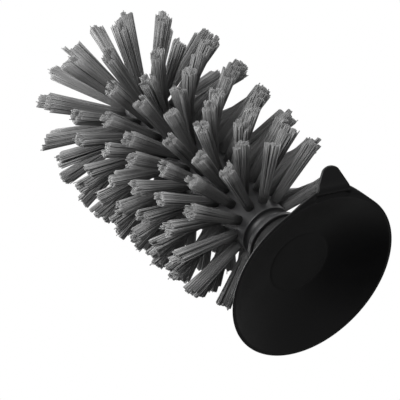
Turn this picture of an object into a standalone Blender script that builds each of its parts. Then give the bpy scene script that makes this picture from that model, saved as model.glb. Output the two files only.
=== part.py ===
"""Sink brush on a suction cup: a turned rubber cup with a pull tab, and a tufted head that snaps into it.

The brush stands on the lip of its cup. The origin is the middle of the lip's plane, +Z runs up the
brush's axis and the pull tab points along +X. Lengths are in metres.
"""

import math

import bmesh
import bpy
import numpy as np
from mathutils import Matrix, Vector

# Fits
clearance = 0.0003  # running gap between two pieces that touch on the real brush
overrun = 0.002  # how far a cutter passes the face that it cuts
weld = 0.00001  # points nearer than this are one point

# Suction cup
cup_radius = 0.040
lip_thickness = 0.0006  # wall at the very edge
lip_land = 0.0014  # width of the flat ring that seals on the sink
bowl_height = 0.0180  # height that the outside of the bowl would reach on the axis
hollow_height = 0.0128  # height that the inside of the bowl would reach on the axis
boss_radius = 0.0138
boss_face = 0.0109  # height of the boss's flat face over the lip
boss_round = 0.0006  # how far inside the boss's edge its face begins to turn
boss_fillet = 0.0006  # and how far outside it the turn runs out into the bowl
hub_radius = 0.0130
hub_top = 0.0270
hub_round = 0.0015
hub_flare_radius = 0.0175  # where the hub's flare runs out into the bowl
hub_flare_top = 0.0205

# Foot of the core, and the socket that holds it
foot_bottom = 0.0133
foot_end_radius = 0.0060
bulb_radius = 0.0090
bulb_height = 0.0175
waist_radius = 0.0070
waist_height = 0.0222

# Core
flange_radius = 0.0135
flange_thickness = 0.0024
flange_round = 0.0008
neck_radius = 0.0095
neck_top = 0.0330
core_radius = 0.0120
core_base_thickness = 0.0018
spindle_radius = 0.0050

# Pull tab
tab_thickness = 0.0018
tab_end_thickness = 0.0013
tab_length = 0.0095
tab_root_half_width = 0.0086
tab_end_radius = 0.0059
tab_hinge_offset = 0.0024  # how far outside the lip's edge the hinge line lies
tab_underside = 0.0003  # height of the tab's root over the sink
tab_lift_deg = 35
lug_turn_deg = 36  # how far round the lip from its middle the lug begins
lug_shoulder_offset = 0.0006  # corner of the lug's flaring side: how far outside the lip's edge it lies
lug_shoulder_half_width = 0.0122  # and half of the distance across to the other side's corner
lug_reach_in = 0.0018  # how far the lug's top runs in over the bowl

# Tufts
tuft_root_radius = 0.0012  # centres of a tuft's strands round its middle, at the root
tuft_tip_radius = 0.0026  # and at the tip
strand_root_radius = 0.00095
strand_tip_radius = 0.0015
strand_root_depth = 0.0012  # how far a strand is sunk in the core
end_scatter = 0.0012  # how much longer or shorter a strand may be
strands_per_tuft = 3
strand_sides = 3
reach_scatter = 0.0010  # how much longer or shorter a whole tuft may be
lean_deg = 2.0
first_seed = 1

# Rings of tufts on the straight core
ring_count = 11
ring_tufts = 11
first_ring_height = 0.0410
ring_pitch = 0.00824
first_ring_turn_deg = 28.8
stagger_share = 0.4  # turn from a ring to the next, as a share of the angle between two tufts
low_tip_radius = 0.0407
high_tip_radius = 0.0470

# Crown of tufts on the round end
crown_skirt = 0.0026  # straight stretch between the last ring's slice and the round end
pole_tip_radius = 0.0520  # reach that a tuft on the axis would have, from the round end's centre
crown_split_deg = 59
crown_rings = (  # angle off the axis, number of tufts, turn of the first tuft, all in degrees or counts
    (71, 11, 13),
    (47, 8, 1),
    (21.5, 4, 89),
)

# Places worked out from the sizes above
tab_hinge_radius = cup_radius + tab_hinge_offset
last_ring_height = first_ring_height + (ring_count - 1) * ring_pitch
rings_top = last_ring_height + ring_pitch / 2
crown_height = rings_top + crown_skirt  # height of the round end's centre

# Fineness of the turned shapes
cup_steps = 40
core_steps = 22
arc_points = 4
bowl_points = 7
flare_points = 8

black_rubber = (0.012, 0.012, 0.013, 1.0)
black_plastic = (0.020, 0.020, 0.022, 1.0)
grey_bristle = (0.120, 0.120, 0.125, 1.0)


def new_collection(name):
    made = bpy.data.collections.new(name)
    bpy.context.scene.collection.children.link(made)
    return made


def new_material(name, colour, roughness):
    made = bpy.data.materials.new(name)
    made.use_nodes = True
    shader = made.node_tree.nodes["Principled BSDF"]
    shader.inputs["Base Color"].default_value = colour
    shader.inputs["Roughness"].default_value = roughness
    shader.inputs["Metallic"].default_value = 0.0
    return made


def new_part(name, mesh, material, parent=None):
    """A mesh object among the brush's parts."""
    made = bpy.data.objects.new(name, mesh)
    mesh.materials.append(material)
    parts.objects.link(made)
    made.parent = parent
    return made


def new_cutter(name, mesh):
    made = bpy.data.objects.new(name, mesh)
    made.hide_render = True
    made.display_type = "WIRE"
    cutters.objects.link(made)
    return made


def new_axis(name, place):
    """An empty on a joint's axis."""
    made = bpy.data.objects.new(name, None)
    made.location = place
    parts.objects.link(made)
    return made


def arc(centre_r, centre_z, radius, start_deg, end_deg):
    """Points of an arc in the profile's plane, with both ends."""
    angles = np.radians(np.linspace(start_deg, end_deg, arc_points))
    return [(centre_r + radius * math.cos(a), centre_z + radius * math.sin(a)) for a in angles]


def bend(start, corner, end, points=arc_points):
    """A quadratic curve from start to end that leaves and arrives towards corner."""
    shares = np.linspace(0, 1, points)
    return [
        tuple((1 - t) ** 2 * np.array(start) + 2 * t * (1 - t) * np.array(corner) + t**2 * np.array(end))
        for t in shares
    ]


def profile_mesh(name, points, closed=False):
    """The edges of a turned shape's profile, in the plane of X and Z."""
    mesh = bpy.data.meshes.new(name)
    count = len(points)
    edges = [(i, (i + 1) % count) for i in range(count if closed else count - 1)]
    mesh.from_pydata([(r, 0, z) for r, z in points], edges, [])
    return mesh


def turn(piece, steps):
    """Turns a piece's profile round the Z axis."""
    screw = piece.modifiers.new("turned", "SCREW")
    screw.steps = steps
    screw.render_steps = steps
    screw.use_merge_vertices = True
    screw.merge_threshold = weld
    screw.use_smooth_shade = True


def join_or_cut(piece, other, operation):
    boolean = piece.modifiers.new(other.name, "BOOLEAN")
    boolean.operation = operation
    boolean.object = other
    boolean.solver = "EXACT"


def plate_mesh(name, outline, half_thickness):
    """A flat plate: the outline filled and given its thickness to both sides, as a closed mesh."""
    curve = bpy.data.curves.new(name, "CURVE")
    curve.dimensions = "2D"
    curve.fill_mode = "BOTH"
    curve.extrude = half_thickness
    spline = curve.splines.new("POLY")
    spline.points.add(len(outline) - 1)
    for point, (x, y) in zip(spline.points, outline):
        point.co = (x, y, 0, 1)
    spline.use_cyclic_u = True
    source = bpy.data.objects.new(name, curve)
    bpy.context.scene.collection.objects.link(source)
    bpy.context.view_layer.update()
    mesh = bpy.data.meshes.new_from_object(source.evaluated_get(bpy.context.evaluated_depsgraph_get()))
    bpy.data.objects.remove(source)
    shape = bmesh.new()
    shape.from_mesh(mesh)
    bmesh.ops.remove_doubles(shape, verts=shape.verts, dist=weld)
    bmesh.ops.recalc_face_normals(shape, faces=shape.faces)
    shape.to_mesh(mesh)
    shape.free()
    return mesh


def place_mesh(mesh, matrix):
    mesh.transform(matrix)
    mesh.update()
    return mesh


def bowl_outside(r):
    """Height of the bowl's outside at distance r from the axis."""
    return lip_thickness + (bowl_height - lip_thickness) * (1 - (r / cup_radius) ** 2)


def bowl_inside(r):
    """Height of the bowl's inside at distance r from the axis."""
    return hollow_height * (1 - (r / (cup_radius - lip_land)) ** 2)


def foot_outline(gap):
    """Profile of the core's foot from its bulb's end up to its waist, grown by gap for the socket."""
    bottom = foot_bottom - gap
    end = (foot_end_radius + gap, bottom)
    bulb = (bulb_radius + gap, bulb_height)
    waist = (waist_radius + gap, waist_height)
    lower = bend(end, (bulb_radius + gap, bottom), bulb)
    middle = (bulb_height + waist_height) / 2
    upper = bend(bulb, (bulb_radius + gap, middle), ((bulb[0] + waist[0]) / 2, middle))
    neck = bend(upper[-1], (waist_radius + gap, middle), waist)
    return [(0, bottom)] + lower + upper[1:] + neck[1:]


def make_hollow_cutter():
    """The space under the cup, round the boss, and on through the lip's plane."""
    inner_edge = cup_radius - lip_land
    boss_foot = (boss_radius + boss_fillet, bowl_inside(boss_radius + boss_fillet))
    radii = np.linspace(boss_foot[0], inner_edge, bowl_points)
    roof = [(r, bowl_inside(r)) for r in radii]
    boss_edge = bend((boss_radius - boss_round, boss_face), (boss_radius, boss_face), boss_foot)
    outline = [(0, boss_face)] + boss_edge + roof[1:]
    outline += [(inner_edge, -overrun), (0, -overrun)]
    cutter = new_cutter("cup_hollow", profile_mesh("cup_hollow", outline))
    turn(cutter, cup_steps)
    return cutter


def make_lug():
    """The flared root on the lip that the pull tab bends from."""
    front = tab_hinge_radius - tab_thickness / 2 - clearance
    back_radius = cup_radius - lug_reach_in
    back = [
        (back_radius * math.cos(a), back_radius * math.sin(a))
        for a in np.radians(np.linspace(-lug_turn_deg, lug_turn_deg, flare_points))
    ]
    begin_radius = cup_radius - lip_land / 2
    begin_turn = math.radians(lug_turn_deg)
    begin = (begin_radius * math.cos(begin_turn), begin_radius * math.sin(begin_turn))
    shoulder = (cup_radius + lug_shoulder_offset, lug_shoulder_half_width)
    side = bend(begin, shoulder, (front, tab_root_half_width), flare_points)
    other_side = [(x, -y) for x, y in reversed(side)]
    mesh = plate_mesh("tab_lug", side + other_side + back, tab_thickness / 2)
    place_mesh(mesh, Matrix.Translation((0, 0, tab_underside + tab_thickness / 2)))
    return new_cutter("tab_lug", mesh)


def make_suction_cup():
    """Hub with its socket, bowl and lip, cut hollow below."""
    socket = foot_outline(clearance)
    mouth = (socket[-1][0], hub_top)
    hub_edge = arc(hub_radius - hub_round, hub_top - hub_round, hub_round, 90, 0)
    flare_end = (hub_flare_radius, bowl_outside(hub_flare_radius))
    flare = bend((hub_radius, hub_flare_top), (hub_radius, flare_end[1]), flare_end)
    radii = np.linspace(hub_flare_radius, cup_radius, bowl_points)
    bowl = [(r, bowl_outside(r)) for r in radii]
    outline = socket + [mouth] + hub_edge + flare + bowl[1:] + [(cup_radius, 0), (0, 0)]
    cup = new_part("suction_cup", profile_mesh("suction_cup", outline), rubber)
    turn(cup, cup_steps)
    join_or_cut(cup, make_lug(), "UNION")
    join_or_cut(cup, make_hollow_cutter(), "DIFFERENCE")
    return cup


def make_pull_tab():
    """A tapering ear with a round root on its hinge line, drawn flat and then lifted to its rest angle."""
    hinge_height = tab_underside + tab_thickness / 2
    hinge = new_axis("tab_hinge", (tab_hinge_radius, 0, hinge_height))
    end = tab_length - tab_end_thickness / 2
    root_side = arc(0, 0, tab_thickness / 2, 90, 270)
    end_side = arc(end, 0, tab_end_thickness / 2, -90, 90)
    side = plate_mesh("pull_tab", root_side + end_side, tab_root_half_width + overrun)
    lift = Matrix.Rotation(-math.radians(tab_lift_deg), 4, "Y")
    place_mesh(side, lift @ Matrix.Rotation(math.pi / 2, 4, "X"))
    tab = new_part("pull_tab", side, rubber, hinge)

    middle = tab_length - tab_end_radius
    tangent_deg = math.degrees(math.asin((tab_root_half_width - tab_end_radius) / middle))
    nose = [
        (middle + tab_end_radius * math.cos(a), tab_end_radius * math.sin(a))
        for a in np.radians(np.linspace(tangent_deg - 90, 90 - tangent_deg, 2 * arc_points))
    ]
    root = [(0, tab_root_half_width), (-tab_thickness, tab_root_half_width)]
    plan = [(x, -y) for x, y in reversed(root)] + nose + root
    mesh = plate_mesh("tab_plan", plan, tab_thickness)
    place_mesh(mesh, Matrix.Translation(hinge.location) @ lift)
    join_or_cut(tab, new_cutter("tab_plan", mesh), "INTERSECT")
    return tab


def make_core_stem(head):
    """One turned moulding: foot, flange, neck, base of the core and the spindle inside the tufted slices."""
    core_bottom = first_ring_height - ring_pitch / 2 - clearance / 2
    base_bottom = core_bottom - core_base_thickness
    flange_bottom = hub_top + clearance
    flange_top = flange_bottom + flange_thickness
    spindle_top = crown_seat_height() - clearance
    base_curve = bend((core_radius, base_bottom), (neck_radius, base_bottom), (neck_radius, neck_top))
    flange_edge = arc(flange_radius - flange_round, flange_top - flange_round, flange_round, 90, 0)
    outline = [(0, spindle_top), (spindle_radius, spindle_top), (spindle_radius, core_bottom)]
    outline += [(core_radius, core_bottom)] + base_curve + [(neck_radius, flange_top)] + flange_edge
    outline += [(flange_radius, flange_bottom), (waist_radius, flange_bottom)]
    outline += list(reversed(foot_outline(0)))
    stem = new_part("core_stem", profile_mesh("core_stem", outline), plastic, head)
    turn(stem, core_steps)
    return stem


def crown_seat_height():
    """Height of the flat seat on the crown's cone, just outside the spindle."""
    bore = spindle_radius + clearance
    return crown_height + bore / math.tan(math.radians(crown_split_deg))


def crown_arc(start_deg, end_deg):
    """Profile points on the core's round end, by their angle off the axis."""
    angles = np.radians(np.linspace(start_deg, end_deg, arc_points))
    return [(core_radius * math.sin(a), crown_height + core_radius * math.cos(a)) for a in angles]


def ring_profile(height):
    """A plain slice of the straight core, with its bore on the spindle."""
    bore = spindle_radius + clearance
    top = height + (ring_pitch - clearance) / 2
    bottom = height - (ring_pitch - clearance) / 2
    return [(core_radius, top), (core_radius, bottom), (bore, bottom), (bore, top)]


def crown_ring_profile():
    """The slice under the round end: straight below, round above, and a cone where the cap sits."""
    bore = spindle_radius + clearance
    bottom = rings_top + clearance / 2
    half_gap_deg = math.degrees(clearance / core_radius) / 2
    shoulder = crown_arc(crown_split_deg + half_gap_deg, 90)
    return shoulder + [(core_radius, bottom), (bore, bottom), (bore, crown_seat_height() - clearance)]


def crown_cap_profile():
    """The round cap on the crown's cone and the spindle's end."""
    half_gap_deg = math.degrees(clearance / core_radius) / 2
    seat = crown_seat_height()
    return crown_arc(0, crown_split_deg - half_gap_deg) + [(spindle_radius + clearance, seat), (0, seat)]


def add_strand(shape, start, end):
    """One flaring strand from start to end, of strand_sides flat sides."""
    along = end - start
    length = along.length
    turned_to = along.to_track_quat("Z", "Y").to_matrix().to_4x4()
    matrix = Matrix.Translation((start + end) / 2) @ turned_to
    bmesh.ops.create_cone(
        shape,
        cap_ends=True,
        segments=strand_sides,
        radius1=strand_root_radius,
        radius2=strand_tip_radius,
        depth=length,
        matrix=matrix,
    )


def add_tuft(shape, centre, direction, tip_distance, lean, chance):
    """A bundle of flaring strands that leaves the core along direction, off it by its two leans in radians."""
    side = Vector((-direction.y, direction.x, 0)).normalized()
    other = direction.cross(side)
    heading = (direction + side * lean[0] + other * lean[1]).normalized()
    root = centre + direction * (core_radius - strand_root_depth)
    tip = root + heading * (tip_distance - core_radius + strand_root_depth)
    first_turn = chance.uniform(0, 2 * math.pi)
    for strand in range(strands_per_tuft):
        angle = first_turn + 2 * math.pi * strand / strands_per_tuft
        offset = side * math.cos(angle) + other * math.sin(angle)
        reach = heading * chance.uniform(-end_scatter, end_scatter)
        add_strand(shape, root + offset * tuft_root_radius, tip + offset * tuft_tip_radius + reach)


def tufts_mesh(name, tufts, chance):
    """The strands of a slice's tufts, each tuft given by its centre, direction and tip distance."""
    leans = np.radians(chance.uniform(-lean_deg, lean_deg, (len(tufts), 2)))
    gains = chance.uniform(-reach_scatter, reach_scatter, len(tufts))
    shape = bmesh.new()
    for (centre, direction, tip_distance), lean, gain in zip(tufts, leans, gains):
        add_tuft(shape, centre, direction, tip_distance + gain, lean, chance)
    mesh = bpy.data.meshes.new(name)
    shape.to_mesh(mesh)
    shape.free()
    return mesh


def direction_at(off_axis_deg, turn_deg):
    """Unit vector at an angle off the brush's axis, turned from +X about it."""
    off, around = math.radians(off_axis_deg), math.radians(turn_deg)
    return Vector((math.sin(off) * math.cos(around), math.sin(off) * math.sin(around), math.cos(off)))


def ring_tufts_at(index):
    """Centre, direction and tip distance of each tuft in one ring of the straight core."""
    centre = Vector((0, 0, first_ring_height + index * ring_pitch))
    between_deg = 360 / ring_tufts
    first_deg = first_ring_turn_deg + index * stagger_share * between_deg
    tip = low_tip_radius + (high_tip_radius - low_tip_radius) * index / (ring_count - 1)
    return [(centre, direction_at(90, first_deg + j * between_deg), tip) for j in range(ring_tufts)]


def crown_tufts_at(rings):
    """Centre, direction and tip distance of each tuft in rings of the round end, longer towards its pole."""
    centre = Vector((0, 0, crown_height))
    tufts = []
    for off_axis, count, first in rings:
        tip = pole_tip_radius + (high_tip_radius - pole_tip_radius) * off_axis / 90
        tufts += [(centre, direction_at(off_axis, first + j * 360 / count), tip) for j in range(count)]
    return tufts


def make_slice(name, profile, closed, tufts, head, chance):
    """A slice of the core with its tufts fused to it."""
    piece = new_part(name, profile_mesh(name, profile, closed), bristle, head)
    turn(piece, core_steps)
    strands = new_cutter(name + "_strands", tufts_mesh(name + "_strands", tufts, chance))
    join_or_cut(piece, strands, "UNION")
    return piece


def make_head():
    """The core and all its tufted slices, on the axis that the head turns about."""
    head = new_axis("head_axis", (0, 0, 0))
    make_core_stem(head)
    for index in range(ring_count):
        height = first_ring_height + index * ring_pitch
        chance = np.random.default_rng(first_seed + index)
        name = f"bristle_ring_{index + 1:02d}"
        make_slice(name, ring_profile(height), True, ring_tufts_at(index), head, chance)
    chance = np.random.default_rng(first_seed + ring_count)
    make_slice("crown_ring", crown_ring_profile(), True, crown_tufts_at(crown_rings[:1]), head, chance)
    chance = np.random.default_rng(first_seed + ring_count + 1)
    make_slice("crown_cap", crown_cap_profile(), False, crown_tufts_at(crown_rings[1:]), head, chance)


for left_over in list(bpy.data.objects):
    bpy.data.objects.remove(left_over)

parts = new_collection("sink_brush")
cutters = new_collection("cutters")
rubber = new_material("black_rubber", black_rubber, 0.55)
plastic = new_material("black_plastic", black_plastic, 0.40)
bristle = new_material("grey_bristle", grey_bristle, 0.50)

make_suction_cup()
make_pull_tab()
make_head()
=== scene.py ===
"""Sink brush on a suction cup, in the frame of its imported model, seen from below its cup.

Lengths are in metres. The origin is the middle of the cup's lip, +Z runs up the brush's axis and the
pull tab points along +X. Every surface is worked out with numpy on a grid of rows and columns.
"""

import math

import bpy
import numpy as np
from mathutils import Matrix, Vector


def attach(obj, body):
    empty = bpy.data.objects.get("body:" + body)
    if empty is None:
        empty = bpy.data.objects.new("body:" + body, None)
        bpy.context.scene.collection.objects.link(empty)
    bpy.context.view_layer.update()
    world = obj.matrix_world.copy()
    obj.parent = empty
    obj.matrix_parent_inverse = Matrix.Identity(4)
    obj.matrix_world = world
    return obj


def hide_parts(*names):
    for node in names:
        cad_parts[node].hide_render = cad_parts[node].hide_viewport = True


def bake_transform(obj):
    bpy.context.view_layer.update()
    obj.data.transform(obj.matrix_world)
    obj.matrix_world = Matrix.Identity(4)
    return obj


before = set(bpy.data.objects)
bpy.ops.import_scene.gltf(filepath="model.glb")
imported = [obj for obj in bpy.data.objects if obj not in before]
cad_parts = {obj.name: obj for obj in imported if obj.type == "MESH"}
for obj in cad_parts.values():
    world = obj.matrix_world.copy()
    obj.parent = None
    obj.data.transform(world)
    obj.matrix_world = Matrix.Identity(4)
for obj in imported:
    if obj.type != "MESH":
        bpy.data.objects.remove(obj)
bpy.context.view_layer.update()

# View
view_target = np.array((0, 0, 0.060))
view_azimuth_deg = 43.0
view_elevation_deg = -40.9
view_roll_deg = -46.4
view_distance = 1.0
view_width = 0.1726  # width of the picture at the target's distance
sensor_width_mm = 36.0
nearest_shown = 0.01
farthest_shown = 20.0
picture_side_px = 400
target_px = np.array((234.5, 200.7))  # where the target lies in the picture

# Light: each lamp's place, side and power, all aimed at one point, and the room's grey levels
lamp_target = (0, 0, 0.09)
lamps = (
    ("right_box", (0.75, 0.85, 0.42), 0.7, 8.0),
    ("front_box", (0.50, -0.95, 0.42), 0.7, 9.0),
    ("near_box", (0.80, -0.92, -0.20), 0.6, 13.0),
    ("top_box", (1.05, -0.20, 0.45), 0.7, 6.0),
    ("high_box", (-0.45, -0.55, 1.15), 0.9, 28.0),
)
room_level = 0.30
bright_level = 0.65
bright_side = (0, 0.8, 0.6)
bright_start = 0.50  # cosine of the angle from the bright side at which it begins
dark_card = (-0.500, -0.200, -0.843)
card_edge = 0.75  # cosines of the angles from the card's middle to its edge and its core
card_core = 0.90

# Floor
floor_half = 1.5
floor_gap = 0.0002  # how far it lies under the lip
floor_grey = 0.80
floor_fade_start = 0.12  # shares of its half side from which and at which it has faded out
floor_fade_end = 0.35

# Suction cup
clearance = 0.0003
cup_radius = 0.040
lip_thickness = 0.0006
lip_land = 0.0014
bowl_height = 0.0180
hollow_height = 0.0128
boss_radius = 0.0138
boss_face = 0.0109
boss_round = 0.0006
boss_fillet = 0.0006
hub_radius = 0.0130
hub_top = 0.0270
hub_round = 0.0015
mouth_round = hub_round / 4
hub_flare_radius = 0.0175
hub_flare_top = 0.0205

# Foot of the core, and the socket that holds it
foot_bottom = 0.0133
foot_end_radius = 0.0060
bulb_radius = 0.0090
bulb_height = 0.0175
waist_radius = 0.0070
waist_height = 0.0222

# Core
flange_radius = 0.0135
flange_thickness = 0.0024
flange_round = 0.0008
neck_radius = 0.0095
neck_top = 0.0330
core_radius = 0.0120
core_base_thickness = 0.0018
base_round = 0.0005

# Pull tab
tab_thickness = 0.0018
tab_end_thickness = 0.0013
tab_length = 0.0095
tab_root_half_width = 0.0086
tab_end_radius = 0.0059
tab_hinge_radius = cup_radius + 0.0024
tab_underside = 0.0003
tab_lift_deg = 35.0
tab_bend_half_length = 0.0012
tab_groove_depth = 0.0008
tab_groove_half_width = 0.0013
tab_groove_offset = -0.0027  # middle of the groove, from the hinge line
tab_band_height = 0.0003
tab_band_width = 0.0036
tab_band_offset = -0.0002  # middle of the band, from the hinge line
tab_fade_start = 1.1  # shares of the tab's half width between which the groove and the band rise
tab_fade_end = 0.8
lug_half_width = 0.0235
lug_shoulder_radius = cup_radius + 0.0006
lug_shoulder_half_width = 0.0122
lug_reach_in = 0.0018
settle_start = 0.6  # share of the way from the shoulder to the rim where the top starts to meet the edge

# Tufts
filament_root_radius = 0.00014
filament_tip_radius = 0.00024
filaments_per_tuft = 210
filament_sides = 4
filament_rings = 5
root_spread = 0.0019
tip_spread = 0.0034
crown_spread_share = 1.10  # the crown's tufts fan out more
tip_oval = 0.10
spread_power = 1.05
sunk_depth = 0.0012
locks_per_tuft = 7
lock_reach = 0.9  # shares of the tuft's radius
lock_scatter = 0.06
lock_pull = 0.13
lock_wander = 0.00030
lock_length_scatter = 0.0010
tuft_length_scatter = 0.0004
filament_length_scatter = 0.0004
cut_slope = 0.26
filament_wander = 0.00012
stray_share = 0.02
stray_reach = 0.0014
stray_spread_share = 1.15
pale_lock_share = 0.02
pale_lock_gain = 1.0
middle_tone = 0.60
lock_tone_scatter = 0.13
filament_tone_scatter = 0.12
tuft_tone_scatter = 0.08
most_tone = 2.0
lean_deg = 1.0
# Tufts that stand off the even lattice, by ring and place in it, where rings 11 and 12 are the crown's:
# lean sideways and lean up, in degrees, and gain in reach, in hundredths
bent_tufts = {
    (0, 1): (0, -4, 0), (1, 1): (0, -8, 0), (2, 1): (0, -12, 0),
    (1, 9): (5, -6, 0), (1, 10): (6, -5, 2), (2, 8): (0, -5, 0), (3, 9): (2, -3, 0), (4, 7): (3, -4, 0),
    (5, 10): (-4, 2, 0), (6, 6): (-8, 0, 0), (6, 9): (-3, 0, 0), (8, 6): (-3, -3, 0),
    (10, 3): (0, 4, 4), (10, 4): (-6, 0, 0), (10, 5): (-1, 8, 4), (10, 6): (3, -9, 0),
    (11, 0): (-1, 1, -5), (11, 1): (-1, -3, -3), (11, 2): (4, 0, 0),
    (11, 6): (9, 3, 3), (11, 7): (7, 7, 1), (11, 8): (5, 0, 0), (11, 9): (-3, 2, 2),
    (11, 10): (1, 1, -2), (12, 0): (1, 1, -2), (12, 1): (1, 2, 0),
    (12, 6): (-4, -3, 0), (12, 7): (-4, 2, -4), (12, 9): (1, -4, 0), (12, 10): (3, -5, 3),
    (12, 11): (-5, -4, 2),
}

# Rings of tufts
ring_count = 11
ring_tufts = 11
first_ring_height = 0.0410
ring_pitch = 0.00824
first_ring_turn_deg = 28.8
stagger_share = 0.4
low_tip_radius = 0.0407
high_tip_radius = 0.0470
rings_top = first_ring_height + (ring_count - 0.5) * ring_pitch
crown_rise = 0.0026
crown_height = rings_top + crown_rise
pole_tip_radius = 0.0520
# Rings round the crown: angle from the axis, count of tufts and turn of the first, in degrees
crown_ring_turns = ((71, 11, 13),)
crown_cap_turns = ((47, 8, 1), (21.5, 4, 89))

# Finishes: a colour is a grey level and what its blue is multiplied by
patch_start = 0.35  # the noise's values between which a finish goes from plain to patch
patch_end = 0.70
patch_roughness = 0.08  # how much rougher a patch is
grain_depth = 0.0002
rubber_greys = (0.0008, 0.0014)
rubber_blue = 1.2
rubber_roughness = 0.48
rubber_shine = 0.28
rubber_patch_scale = 55.0
rubber_grain_scale = 2600.0
rubber_grain_strength = 0.20
hollow_smoothness = 0.06  # how much less rough the hollow is
plastic_greys = (0.012, 0.018)
plastic_blue = 1.05
plastic_roughness = 0.40
plastic_shine = 0.40
plastic_patch_scale = 80.0
plastic_grain_scale = 3200.0
plastic_grain_strength = 0.15
# The darker root is partly the nylon's own tone and partly painted shade between the tufts; the paler cut
# end is a painted highlight.
root_grey_with_painted_shade = 0.100
shaft_grey = 0.170
cut_grey_with_painted_highlight = 0.18
shaft_start = 0.80  # share of a filament's length by which its root's darker tone and painted shade have gone
cut_start = 0.975  # shares between which the shaft turns into the cut end's painted highlight
cut_end = 0.995
tone_greys = (0.50, 1.5)
bristle_roughness = 0.40
tone_roughness = 0.08
bristle_shine = 0.50

# Fineness: steps between rows, and counts of columns and of points along a curve
row_step = 0.0010
core_row_step = 0.0012
tab_side_step = 0.0002
tab_columns = 141
lug_columns = 45
turn_columns = 130
tab_columns_reach = 1.10  # how far past the tab's own angle its close columns go
lug_columns_reach = 1.05
core_columns = 96
tab_curve_points = 40
flare_points = 17
bowl_points = 24
roof_points = 26
boss_points = 13
over_rows = 25  # from the bowl's shoulder out over the lug and the tab
edge_rows = 10
under_rows = 42
crown_points = 28
base_points = 12


class Value:
    """A node's output that takes part in Python sums: each operation adds its Math node."""

    def __init__(self, finish, socket):
        self.finish = finish
        self.socket = socket

    def maths(self, operation, first, second):
        """The result of one Math node."""
        return self.finish.node("ShaderNodeMath", {"operation": operation}, {0: first, 1: second})

    def __add__(self, other):
        return self.maths("ADD", self, other)

    __radd__ = __add__

    def __sub__(self, other):
        return self.maths("SUBTRACT", self, other)

    def __rsub__(self, other):
        return self.maths("SUBTRACT", other, self)

    def __mul__(self, other):
        return self.maths("MULTIPLY", self, other)

    __rmul__ = __mul__


class Finish:
    """The nodes of one material, or of the room."""

    def __init__(self, owner, output="ShaderNodeOutputMaterial"):
        self.owner = owner
        self.owner.use_nodes = True
        self.tree = self.owner.node_tree
        self.tree.nodes.clear()
        self.output = self.tree.nodes.new(output)

    def node(self, kind, settings=None, inputs=None, output=0):
        """Adds a node: its settings first, then each input's value or link, and gives one output back."""
        made = self.tree.nodes.new(kind)
        for name, value in (settings or {}).items():
            setattr(made, name, value)
        for name, value in (inputs or {}).items():
            self.feed(made.inputs[name], value)
        return Value(self, made.outputs[output])

    def feed(self, socket, value):
        """Links a node's output to a socket, or sets the socket to a constant."""
        if isinstance(value, Value):
            self.tree.links.new(value.socket, socket)
        else:
            socket.default_value = value

    def shade(self, shader):
        """Links the shader to the output, and gives back the material or the room."""
        self.tree.links.new(shader.socket, self.output.inputs["Surface"])
        return self.owner

    def noise(self, scale, detail):
        """A noise on the piece's own place, around 0.5."""
        place = self.node("ShaderNodeTexCoord", output="Object")
        return self.node("ShaderNodeTexNoise", {}, {
            "Vector": place, "Scale": scale, "Detail": detail}, "Fac")

    def attribute(self, name):
        """A number that the mesh holds at each vertex."""
        return self.node("ShaderNodeAttribute", {"attribute_name": name}, {}, "Fac")

    def mix(self, share, low, high):
        """A colour between two. Sockets 0, 6 and 7 are the share and the colours, output 2 the mix."""
        return self.node("ShaderNodeMix", {"data_type": "RGBA"}, {0: share, 6: low, 7: high}, 2)

    def stretch(self, value, low, high, to_low=0.0, to_high=1.0):
        """Carries low to to_low and high to to_high in a straight line, and holds what lies beyond."""
        return self.node("ShaderNodeMapRange", {"clamp": True}, {
            "Value": value, "From Min": low, "From Max": high, "To Min": to_low, "To Max": to_high})

    def bump(self, height, strength, distance):
        """A normal tilted by a height."""
        return self.node("ShaderNodeBump", {}, {
            "Height": height, "Strength": strength, "Distance": distance})


def grey(level, blue=1.0):
    """An opaque grey, with its blue multiplied."""
    return (level, level, level * blue, 1.0)


def rubber_finish():
    """Soft black rubber: matt outside, smoother in the hollow, with a fine grain and faint patches."""
    finish = Finish(bpy.data.materials.new("black_rubber"))
    patches = finish.stretch(finish.noise(rubber_patch_scale, 4.0), patch_start, patch_end)
    grain = finish.noise(rubber_grain_scale, 2.0)
    inside = finish.attribute("inside")
    dark, light = rubber_greys
    colour = finish.mix(patches, grey(dark, rubber_blue), grey(light, rubber_blue))
    roughness = rubber_roughness + patches * patch_roughness - inside * hollow_smoothness
    return finish.shade(finish.node("ShaderNodeBsdfPrincipled", {}, {
        "Base Color": colour,
        "Roughness": roughness,
        "Specular IOR Level": rubber_shine,
        "Normal": finish.bump(grain, rubber_grain_strength, grain_depth),
    }))


def plastic_finish():
    """Black moulded plastic with a fine eroded grain."""
    finish = Finish(bpy.data.materials.new("black_plastic"))
    patches = finish.stretch(finish.noise(plastic_patch_scale, 3.0), patch_start, patch_end)
    grain = finish.noise(plastic_grain_scale, 2.0)
    dark, light = plastic_greys
    colour = finish.mix(patches, grey(dark, plastic_blue), grey(light, plastic_blue))
    return finish.shade(finish.node("ShaderNodeBsdfPrincipled", {}, {
        "Base Color": colour,
        "Roughness": plastic_roughness + patches * patch_roughness,
        "Specular IOR Level": plastic_shine,
        "Normal": finish.bump(grain, plastic_grain_strength, grain_depth),
    }))


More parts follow.
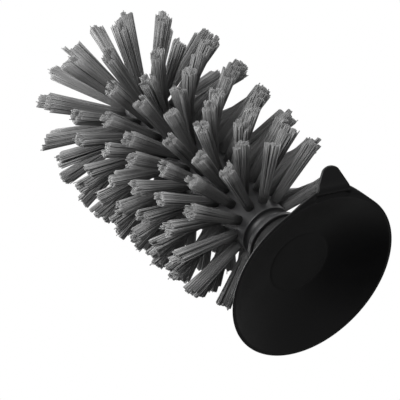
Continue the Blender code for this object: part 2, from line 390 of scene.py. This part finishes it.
def bristle_finish():
    """Dark-grey nylon filaments with a tone each: darker at the root (own tone and painted shade), paler at
    the cut end (painted highlight).
    """
    finish = Finish(bpy.data.materials.new("grey_bristle"))
    along = finish.attribute("along")
    tone = finish.attribute("tone")
    # Painted shade at the root and a painted highlight at the cut end, over the nylon's grey.
    shaft = finish.mix(finish.stretch(along, 0.0, shaft_start), grey(root_grey_with_painted_shade), grey(shaft_grey))
    plain = finish.mix(finish.stretch(along, cut_start, cut_end), shaft, grey(cut_grey_with_painted_highlight))
    darkest, palest = tone_greys
    shade = finish.mix(finish.stretch(tone, 0.0, most_tone), grey(darkest), grey(palest))
    toned = finish.node("ShaderNodeMix", {"data_type": "RGBA", "blend_type": "MULTIPLY"}, {
        0: 1.0, 6: plain, 7: shade}, 2)
    return finish.shade(finish.node("ShaderNodeBsdfPrincipled", {}, {
        "Base Color": toned,
        "Roughness": bristle_roughness + tone * tone_roughness,
        "Specular IOR Level": bristle_shine,
    }))


def smooth_step(value, low, high):
    """Rises from 0 at low to 1 at high as 3t^2 - 2t^3."""
    t = np.clip((value - low) / (high - low), 0, 1)
    return t * t * (3 - 2 * t)


def bend(start, corner, end, count=9):
    """Quadratic curve from start to end that leaves and arrives towards corner."""
    t = np.linspace(0, 1, count)[:, None]
    return (1 - t) ** 2 * np.array(start) + 2 * t * (1 - t) * np.array(corner) + t**2 * np.array(end)


def arc(centre, radius, start_deg, end_deg, count=9):
    """Points of a circle round centre, from one angle to the other."""
    angle = np.radians(np.linspace(start_deg, end_deg, count))
    return np.array(centre) + radius * np.stack([np.cos(angle), np.sin(angle)], 1)


def line_up(*pieces, step=row_step):
    """One profile from several stretches, with points added wherever two lie more than a step apart."""
    points = np.concatenate([np.atleast_2d(np.array(piece, float)) for piece in pieces])
    filled = [points[:1]]
    for start, end in zip(points[:-1], points[1:]):
        length = np.linalg.norm(end - start)
        if length < 1e-7:
            continue
        share = np.linspace(0, 1, int(math.ceil(length / step)) + 1)[1:, None]
        filled.append(start + share * (end - start))
    return np.concatenate(filled)


def new_piece(name, vertices, faces, material):
    """A mesh object at the origin, shaded smooth, with the slot that its finish comes from."""
    mesh = bpy.data.meshes.new(name)
    mesh.from_pydata(vertices.tolist(), [], faces)
    mesh.shade_smooth()
    mesh.materials.append(material)
    mesh.validate()
    piece = bpy.data.objects.new(name, mesh)
    bpy.context.scene.collection.objects.link(piece)
    return piece


def give_attribute(piece, name, values):
    """Gives each vertex of a piece a number that its finish can read."""
    layer = piece.data.attributes.new(name, "FLOAT", "POINT")
    layer.data.foreach_set("value", np.asarray(values, np.float32))


def wrapped(rows):
    """Faces and vertices of rows of points that close round the axis, with a pole where a row is one point.

    rows is an array of row x column x 3 whose first and last rows lie on the axis.
    """
    inner = rows[1:-1]
    count, columns = inner.shape[:2]
    vertices = np.concatenate([rows[0, :1], inner.reshape(-1, 3), rows[-1, :1]])
    index = 1 + np.arange(count * columns).reshape(count, columns)
    here, after = index, np.roll(index, -1, axis=1)
    quads = np.stack([here[:-1], here[1:], after[1:], after[:-1]], -1).reshape(-1, 4)
    last = len(vertices) - 1
    first_fan = np.stack([np.zeros(columns, int), here[0], after[0]], -1)
    last_fan = np.stack([np.full(columns, last), after[-1], here[-1]], -1)
    return vertices, quads.tolist() + first_fan.tolist() + last_fan.tolist()


def turned_rows(profile, azimuths):
    """Each profile point (r, z) carried round the axis: (r cos a, r sin a, z)."""
    radius, height = profile[:, :1], profile[:, 1:]
    level = np.broadcast_to(height, (len(profile), len(azimuths)))
    return np.stack([radius * np.cos(azimuths), radius * np.sin(azimuths), level], -1)


def bowl_outside(r):
    """A parabola from bowl_height on the axis to the lip's thickness at the rim."""
    return lip_thickness + (bowl_height - lip_thickness) * (1 - (r / cup_radius) ** 2)


def bowl_inside(r):
    """A parabola from hollow_height on the axis to zero at the lip's land."""
    return hollow_height * (1 - (r / (cup_radius - lip_land)) ** 2)


def foot_outline(gap):
    """Profile of the bulb from its flat end on the axis up to its waist, grown by gap for the socket."""
    bottom = foot_bottom - gap
    bulb = (bulb_radius + gap, bulb_height)
    waist = (waist_radius + gap, waist_height)
    middle = (bulb_height + waist_height) / 2
    between = ((bulb[0] + waist[0]) / 2, middle)
    lower = bend((foot_end_radius + gap, bottom), (bulb_radius + gap, bottom), bulb)
    upper = bend(bulb, (bulb_radius + gap, middle), between)
    top = bend(between, (waist_radius + gap, middle), waist)
    return np.concatenate([[(0, bottom)], lower, upper[1:], top[1:]])


def tab_outline(azimuths):
    """Reach of the rim, with its lug and tab, at each azimuth, as seen flat from above.

    Half of the outline is an arc round the tab's end, a straight side that touches it and runs to the
    hinge line, and a curve from there that meets the round rim. The other half mirrors it.
    """
    middle = tab_length - tab_end_radius
    tangent_deg = math.degrees(math.asin((tab_root_half_width - tab_end_radius) / middle))
    nose = arc((tab_hinge_radius + middle, 0), tab_end_radius, 0, 90 - tangent_deg, tab_curve_points)
    rim_corner = (math.sqrt(cup_radius**2 - lug_half_width**2), lug_half_width)
    shoulder = (lug_shoulder_radius, lug_shoulder_half_width)
    side = bend((tab_hinge_radius, tab_root_half_width), shoulder, rim_corner, tab_curve_points)
    half = np.concatenate([nose, line_up(nose[-1:], side[:1], step=tab_side_step)[1:], side[1:]])
    angle = np.arctan2(half[:, 1], half[:, 0])
    reach = np.hypot(half[:, 0], half[:, 1])
    order = np.argsort(angle)
    around = np.abs((azimuths + math.pi) % (2 * math.pi) - math.pi)
    return np.interp(around, angle[order], reach[order], right=cup_radius)


def cup_azimuths():
    """Columns close together across the tab and its lug, and wider round the rest of the cup."""
    lug_edge = math.asin(lug_half_width / cup_radius) * lug_columns_reach
    tab_edge = math.asin(tab_root_half_width / tab_hinge_radius) * tab_columns_reach
    tab = np.linspace(-tab_edge, tab_edge, tab_columns)
    beside = np.linspace(tab_edge, lug_edge, lug_columns)[1:]
    far = np.linspace(lug_edge, 2 * math.pi - lug_edge, turn_columns)[1:]
    return np.concatenate([tab, beside, far, (2 * math.pi - beside)[:-1][::-1]])


def lift_tab(points):
    """Bends everything past the tab's root upwards: a short arc on the hinge, then straight on."""
    lift = math.radians(tab_lift_deg)
    radius = 2 * tab_bend_half_length / lift
    middle_height = tab_underside + tab_thickness / 2
    past = points[..., 0] - (tab_hinge_radius - tab_bend_half_length)
    off = points[..., 2] - middle_height
    angle = np.clip(past / radius, 0, lift)
    straight = np.maximum(past - 2 * tab_bend_half_length, 0)
    lifted = points.copy()
    turned = past > 0
    x = tab_hinge_radius - tab_bend_half_length
    x = x + (radius - off) * np.sin(angle) + straight * np.cos(angle)
    z = middle_height + radius * (1 - np.cos(angle)) + straight * np.sin(angle) + off * np.cos(angle)
    lifted[..., 0] = np.where(turned, x, points[..., 0])
    lifted[..., 2] = np.where(turned, z, points[..., 2])
    return lifted


def make_rubber_cup(material):
    """Hub, bowl, lip and pull tab as one skin, from the socket's floor out over the rim to the boss's face.

    Rows inside the bowl's shoulder and in the hollow are plain turned rows. The rows between them run
    out to the reach of the rim at each azimuth, so they stretch over the lug and the tab: on top the
    height goes from the bowl's parabola to the lug's and tab's upper face as they come near, then half
    a circle rounds the edge, and the rows below come back in, with a groove and a raised band across
    the tab's root, each a bell curve of the distance from the hinge line.
    """
    azimuths = cup_azimuths()
    socket = foot_outline(clearance)
    hub_edge = arc((hub_radius - hub_round, hub_top - hub_round), hub_round, 90, 0)
    mouth_radius = waist_radius + clearance
    mouth = arc((mouth_radius + mouth_round, hub_top - mouth_round), mouth_round, 180, 90)
    flare_end = (hub_flare_radius, bowl_outside(hub_flare_radius))
    flare = bend((hub_radius, hub_flare_top), (hub_radius, flare_end[1]), flare_end, flare_points)
    shoulder = cup_radius - lug_reach_in
    bowl_radii = np.linspace(hub_flare_radius, shoulder, bowl_points)
    bowl = np.stack([bowl_radii, bowl_outside(bowl_radii)], 1)
    upper = turned_rows(line_up(socket, mouth, hub_edge, flare, bowl[1:]), azimuths)

    inner_edge = cup_radius - lip_land
    roof_radii = np.linspace(inner_edge, boss_radius + boss_fillet, roof_points)
    roof = np.stack([roof_radii, bowl_inside(roof_radii)], 1)
    boss_corner = (boss_radius, boss_face)
    boss_side = bend(roof[-1], boss_corner, (boss_radius - boss_round, boss_face), boss_points)
    lower = turned_rows(line_up(roof, boss_side[1:], [(0, boss_face)]), azimuths)

    reach = tab_outline(azimuths)
    aside = -np.abs(np.sin(azimuths)) * cup_radius
    ahead = np.cos(azimuths) > 0
    on_lug = smooth_step(aside, -lug_half_width, -tab_root_half_width) * ahead
    tab_side = aside / tab_root_half_width
    on_tab = smooth_step(tab_side, -tab_fade_start, -tab_fade_end) * ahead
    past_hinge = np.clip((reach - tab_hinge_radius) / tab_length, 0, 1)
    full = tab_thickness + (tab_end_thickness - tab_thickness) * past_hinge
    edge_low = tab_underside * on_lug
    edge_high = lip_thickness + (tab_underside + full - lip_thickness) * on_lug
    edge_half = (edge_high - edge_low) / 2
    edge_middle = (edge_high + edge_low) / 2

    def at(radius, height):
        return np.stack([radius * np.cos(azimuths), radius * np.sin(azimuths), height], -1)

    rim_start = reach - edge_half
    over = []
    for share in np.linspace(0, 1, over_rows + 1)[1:]:
        radius = shoulder + share * (rim_start - shoulder)
        plain = bowl_outside(np.minimum(radius, cup_radius))
        past = np.clip((radius - tab_hinge_radius) / tab_length, 0, 1)
        raised = tab_underside + tab_thickness + (tab_end_thickness - tab_thickness) * past
        height = plain + (raised - plain) * on_lug
        settle = smooth_step(share, settle_start, 1.0)
        over.append(at(radius, height + (edge_high - height) * settle))
    for angle in np.radians(np.linspace(90, -90, edge_rows + 1)[1:]):
        over.append(at(rim_start + edge_half * math.cos(angle), edge_middle + edge_half * math.sin(angle)))
    for share in np.linspace(0, 1, under_rows + 2)[1:-1]:
        radius = rim_start + share * (inner_edge - rim_start)
        raised = smooth_step(radius, cup_radius - 0.5 * lip_land, cup_radius)
        out = radius * np.cos(azimuths) - tab_hinge_radius
        groove = np.exp(-(((out - tab_groove_offset) / tab_groove_half_width) ** 2)) * tab_groove_depth
        band = np.exp(-(((out - tab_band_offset) / (tab_band_width / 2)) ** 2)) * tab_band_height
        over.append(at(radius, edge_low * raised + (groove - band) * on_tab))
    rows = lift_tab(np.concatenate([upper, np.stack(over), lower]))
    vertices, faces = wrapped(rows)
    cup = new_piece("rubber_cup", vertices, faces, material)
    is_inside = np.zeros(rows.shape[:2])
    is_inside[len(upper) + len(over):] = 1
    give_attribute(cup, "inside", np.concatenate([[0], is_inside[1:-1].ravel(), [1]]))
    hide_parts("suction_cup", "pull_tab")
    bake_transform(cup)
    return cup


def make_core(material):
    """Bulb, flange, neck and the straight core with its round end, as one turned skin."""
    azimuths = np.linspace(0, 2 * math.pi, core_columns, endpoint=False)
    flange_bottom = hub_top + clearance
    flange_top = flange_bottom + flange_thickness
    base_bottom = first_ring_height - ring_pitch / 2 - core_base_thickness
    crown = arc((0, crown_height), core_radius, 90, 0, crown_points)
    base_start = (core_radius - base_round, base_bottom)
    base_curve = bend(base_start, (neck_radius, base_bottom), (neck_radius, neck_top), base_points)
    base_edge = arc((core_radius - base_round, base_bottom + base_round), base_round, 0, -90)
    upper_edge = arc((flange_radius - flange_round, flange_top - flange_round), flange_round, 90, 0)
    under_round = flange_round / 2
    lower_edge = arc((flange_radius - under_round, flange_bottom + under_round), under_round, 0, -90)
    foot = foot_outline(0)[::-1]
    profile = line_up(
        crown, base_edge, base_curve, [(neck_radius, flange_top)], upper_edge, lower_edge,
        [(waist_radius, flange_bottom)], foot, step=core_row_step)
    rows = turned_rows(profile, azimuths)
    vertices, faces = wrapped(rows)
    core = new_piece("core", vertices, faces, material)
    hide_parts("core_stem")
    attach(core, "head")
    return core


def tuft_frames(index):
    """Centre, direction, level side vector, third vector and tip distance of each tuft of a ring.

    The rings up the side stand square to the axis, each turned by the stagger, and their reach grows
    evenly from ring to ring. The crown's rings point away from its middle at their angle from the axis.
    """
    if index < ring_count:
        rings = ((90, ring_tufts, first_ring_turn_deg + index * stagger_share * 360 / ring_tufts),)
        centre = np.array((0, 0, first_ring_height + index * ring_pitch))
        reach = low_tip_radius + (high_tip_radius - low_tip_radius) * index / (ring_count - 1)
    else:
        rings = crown_ring_turns if index == ring_count else crown_cap_turns
        centre = np.array((0, 0, crown_height))
        reach = None
    found = []
    for off_axis_deg, count, first_deg in rings:
        tip = reach or pole_tip_radius + (high_tip_radius - pole_tip_radius) * off_axis_deg / 90
        off = math.radians(off_axis_deg)
        around = np.radians(first_deg + np.arange(count) * 360 / count)
        level = np.stack([-np.sin(around), np.cos(around), np.zeros(count)], 1)
        aside = math.sin(off)
        out = np.stack([aside * np.cos(around), aside * np.sin(around), np.full(count, math.cos(off))], 1)
        found += [(centre, d, s, np.cross(d, s), tip) for d, s in zip(out, level)]
    return found


def tuft_filaments(tuft, bent, spread, chance):
    """Centre lines of a tuft's filaments: filament x ring x 3, and a tone for each filament.

    Each filament starts at its place in a small round bundle and ends at the same place in a wider
    one. The places are a sunflower's: filament n of N lies at the root of n / N of the radius and is
    turned by n golden angles. The bundle is parted into locks: a lock's filaments are drawn towards
    its middle at the tip and share a tone and a length. The end is cut on a slant, and a few strays
    stand out of it.
    """
    centre, direction, side, other, tip_distance = tuft
    sideways, upwards, gain = bent
    heading = direction + side * math.radians(sideways) + other * math.radians(upwards)
    heading /= np.linalg.norm(heading)
    count = filaments_per_tuft

    def sunflower(total, turn):
        number = np.arange(total) + 0.5
        angle = number * math.pi * (3 - math.sqrt(5)) + turn
        return np.sqrt(number / total)[:, None] * np.stack([np.cos(angle), np.sin(angle)], 1)

    place = sunflower(count, chance.uniform(0, 2 * math.pi))
    middles = sunflower(locks_per_tuft, chance.uniform(0, 2 * math.pi)) * lock_reach
    middles = middles + chance.normal(0, lock_scatter, middles.shape)
    lock = np.argmin(((place[:, None] - middles) ** 2).sum(2), axis=1)
    drawn = place + (middles[lock] - place) * lock_pull
    oval = 1 + tip_oval * chance.uniform(-1, 1)
    tip_place = drawn * spread * (oval, 1 / oval)
    tip_place = tip_place + chance.normal(0, lock_wander, middles.shape)[lock]
    cut = chance.uniform(-cut_slope, cut_slope, 2)
    length = chance.uniform(-tuft_length_scatter, tuft_length_scatter) + tip_place @ cut
    length = length + chance.normal(0, lock_length_scatter, locks_per_tuft)[lock]
    length = length + chance.uniform(-filament_length_scatter, filament_length_scatter, count)
    stray = chance.random(count) < stray_share
    length = length + stray * chance.uniform(0, stray_reach, count)
    tip_place = tip_place + chance.normal(0, filament_wander, (count, 2))
    tip_place = tip_place * np.where(stray, stray_spread_share, 1)[:, None]
    root = centre + direction * (core_radius - sunk_depth)
    reach = tip_distance * (1 + gain / 100) - core_radius + sunk_depth + length
    along = np.linspace(0, 1, filament_rings)
    share = along**spread_power
    offsets = place[:, None] * root_spread * (1 - share)[:, None] + tip_place[:, None] * share[:, None]
    lines = root + (reach[:, None] * along)[..., None] * heading
    lines = lines + offsets[..., :1] * side + offsets[..., 1:] * other
    pale = (chance.random(locks_per_tuft) < pale_lock_share) * pale_lock_gain
    tone = middle_tone + chance.normal(0, lock_tone_scatter, locks_per_tuft)[lock]
    tone = tone + chance.normal(0, filament_tone_scatter, count) + pale[lock]
    tone = tone + chance.normal(0, tuft_tone_scatter)
    return lines, np.clip(tone, 0, most_tone), side, other


def make_tufts(name, index, node, material):
    """All the filaments of one ring: each a four-sided tube with closed ends."""
    chance = np.random.default_rng(index + 1)
    tufts = tuft_frames(index)
    spread = tip_spread * (1 if index < ring_count else crown_spread_share)
    leans = chance.uniform(-lean_deg, lean_deg, (len(tufts), 2))
    radius = np.linspace(filament_root_radius, filament_tip_radius, filament_rings)[:, None, None]
    corner = 2 * math.pi * np.arange(filament_sides) / filament_sides
    ends = filament_sides * (filament_rings - 1)
    along = np.linspace(0, 1, filament_rings)[:, None]
    all_vertices, all_along, all_tone = [], [], []
    for number, tuft in enumerate(tufts):
        bent = bent_tufts.get((index, number), (*leans[number], 0))
        lines, tone, side, other = tuft_filaments(tuft, bent, spread, chance)
        twist = chance.uniform(0, 2 * math.pi, (len(lines), 1))
        around = np.cos(corner + twist)[..., None] * side + np.sin(corner + twist)[..., None] * other
        tube = lines[:, :, None] + around[:, None] * radius
        all_vertices.append(tube.reshape(-1, 3))
        all_along.append(np.broadcast_to(along, tube.shape[:3]).ravel())
        all_tone.append(np.broadcast_to(tone[:, None, None], tube.shape[:3]).ravel())
    vertices = np.concatenate(all_vertices)
    tubes = len(vertices) // (filament_rings * filament_sides)
    ring = np.arange(filament_rings - 1)[:, None] * filament_sides
    here = ring + np.arange(filament_sides)
    beside = ring + (np.arange(filament_sides) + 1) % filament_sides
    walls = np.stack([here, beside, beside + filament_sides, here + filament_sides], -1).reshape(-1, 4)
    root_cap = np.arange(filament_sides)[::-1]
    tip_cap = ends + np.arange(filament_sides)
    pattern = np.concatenate([walls, root_cap[None], tip_cap[None]])
    first = np.arange(tubes) * filament_rings * filament_sides
    faces = (pattern + first[:, None, None]).reshape(-1, 4)
    piece = new_piece(name, vertices, faces.tolist(), material)
    give_attribute(piece, "along", np.concatenate(all_along))
    give_attribute(piece, "tone", np.concatenate(all_tone))
    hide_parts(node)
    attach(piece, "head")
    return piece


def make_camera():
    """A long lens on the fitted direction, aimed a little beside its target so that no shift is needed."""
    azimuth, elevation, roll = np.radians([view_azimuth_deg, view_elevation_deg, view_roll_deg])
    level_part = math.cos(elevation)
    back = np.array((math.sin(azimuth) * level_part, -math.cos(azimuth) * level_part, math.sin(elevation)))
    level = np.array((math.cos(azimuth), math.sin(azimuth), 0))
    upright = np.cross(level, -back)
    right = level * math.cos(roll) + upright * math.sin(roll)
    up = -level * math.sin(roll) + upright * math.cos(roll)
    place = view_target + back * view_distance
    px = view_width / picture_side_px
    off = (picture_side_px / 2 - target_px) * px
    aim = view_target + right * off[0] - up * off[1]
    forward = (aim - place) / np.linalg.norm(aim - place)
    right = np.cross(forward, up)
    right /= np.linalg.norm(right)
    up = np.cross(right, forward)
    lens = bpy.data.cameras.new("view")
    lens.sensor_width = sensor_width_mm
    lens.lens = sensor_width_mm * view_distance / view_width
    lens.clip_start = nearest_shown
    lens.clip_end = farthest_shown
    camera = bpy.data.objects.new("view", lens)
    turn = Matrix([list(v) for v in np.stack([right, up, -forward], 1)]).to_4x4()
    camera.matrix_world = Matrix.Translation(Vector(place)) @ turn
    bpy.context.scene.collection.objects.link(camera)
    bpy.context.scene.camera = camera


def add_lamp(name, place, target, size, power):
    """A square soft box at place, facing target."""
    lamp = bpy.data.lights.new(name, "AREA")
    lamp.size = size
    lamp.energy = power
    box = bpy.data.objects.new(name, lamp)
    box.location = place
    box.rotation_euler = (Vector(target) - Vector(place)).to_track_quat("-Z", "Y").to_euler()
    bpy.context.scene.collection.objects.link(box)


def make_room():
    """An even grey room, brighter high on one side, with a dark card low down. The camera sees it white."""
    room = Finish(bpy.data.worlds.new("room"), "ShaderNodeOutputWorld")
    way = room.node("ShaderNodeTexCoord", output="Generated")

    def facing(middle):
        return room.node("ShaderNodeVectorMath", {"operation": "DOT_PRODUCT"}, {0: way, 1: middle}, "Value")

    level = room.stretch(facing(bright_side), bright_start, 1.0, room_level, bright_level)
    card = room.stretch(facing(dark_card), card_edge, card_core, 1.0, 0.0)
    seen = room.node("ShaderNodeBackground", {}, {"Color": level * card, "Strength": 1.0})
    white = room.node("ShaderNodeBackground", {}, {"Color": grey(1.0), "Strength": 1.0})
    by_camera = room.node("ShaderNodeLightPath", output="Is Camera Ray")
    shown = room.node("ShaderNodeMixShader", {}, {0: by_camera, 1: seen, 2: white})
    bpy.context.scene.world = room.shade(shown)


def make_light():
    """Soft boxes round the brush."""
    for name, place, size, power in lamps:
        add_lamp(name, place, lamp_target, size, power)


def make_floor():
    """A pale sheet under the lip that fades out round the brush.

    The camera sees it from above only, and no other ray meets it.
    """
    finish = Finish(bpy.data.materials.new("pale_floor"))
    path = finish.node("ShaderNodeLightPath", output="Is Camera Ray")
    back = finish.node("ShaderNodeNewGeometry", output="Backfacing")
    place = finish.node("ShaderNodeTexCoord", output="Object")
    away = finish.node("ShaderNodeVectorMath", {"operation": "LENGTH"}, {0: place}, "Value")
    clear = finish.node("ShaderNodeBsdfTransparent")
    pale = finish.node("ShaderNodeBsdfDiffuse", {}, {"Color": grey(floor_grey)})
    fade = finish.stretch(away, floor_half * floor_fade_start, floor_half * floor_fade_end, 1.0, 0.0)
    seen = path * (1 - back) * fade
    material = finish.shade(finish.node("ShaderNodeMixShader", {}, {0: seen, 1: clear, 2: pale}))
    half, height = floor_half, -floor_gap
    mesh = bpy.data.meshes.new("floor")
    corners = [(-half, -half, height), (half, -half, height), (half, half, height), (-half, half, height)]
    mesh.from_pydata(corners, [], [(0, 1, 2, 3)])
    mesh.materials.append(material)
    floor = bpy.data.objects.new("floor", mesh)
    bpy.context.scene.collection.objects.link(floor)


make_camera()
make_room()
make_light()
make_floor()

rubber = rubber_finish()
plastic = plastic_finish()
bristle = bristle_finish()

make_rubber_cup(rubber)
make_core(plastic)
for index in range(ring_count):
    number = f"{index + 1:02d}"
    make_tufts("tufts_ring_" + number, index, "bristle_ring_" + number, bristle)
make_tufts("tufts_crown_ring", ring_count, "crown_ring", bristle)
make_tufts("tufts_crown_cap", ring_count + 1, "crown_cap", bristle)

bpy.context.scene.view_settings.view_transform = "Standard"
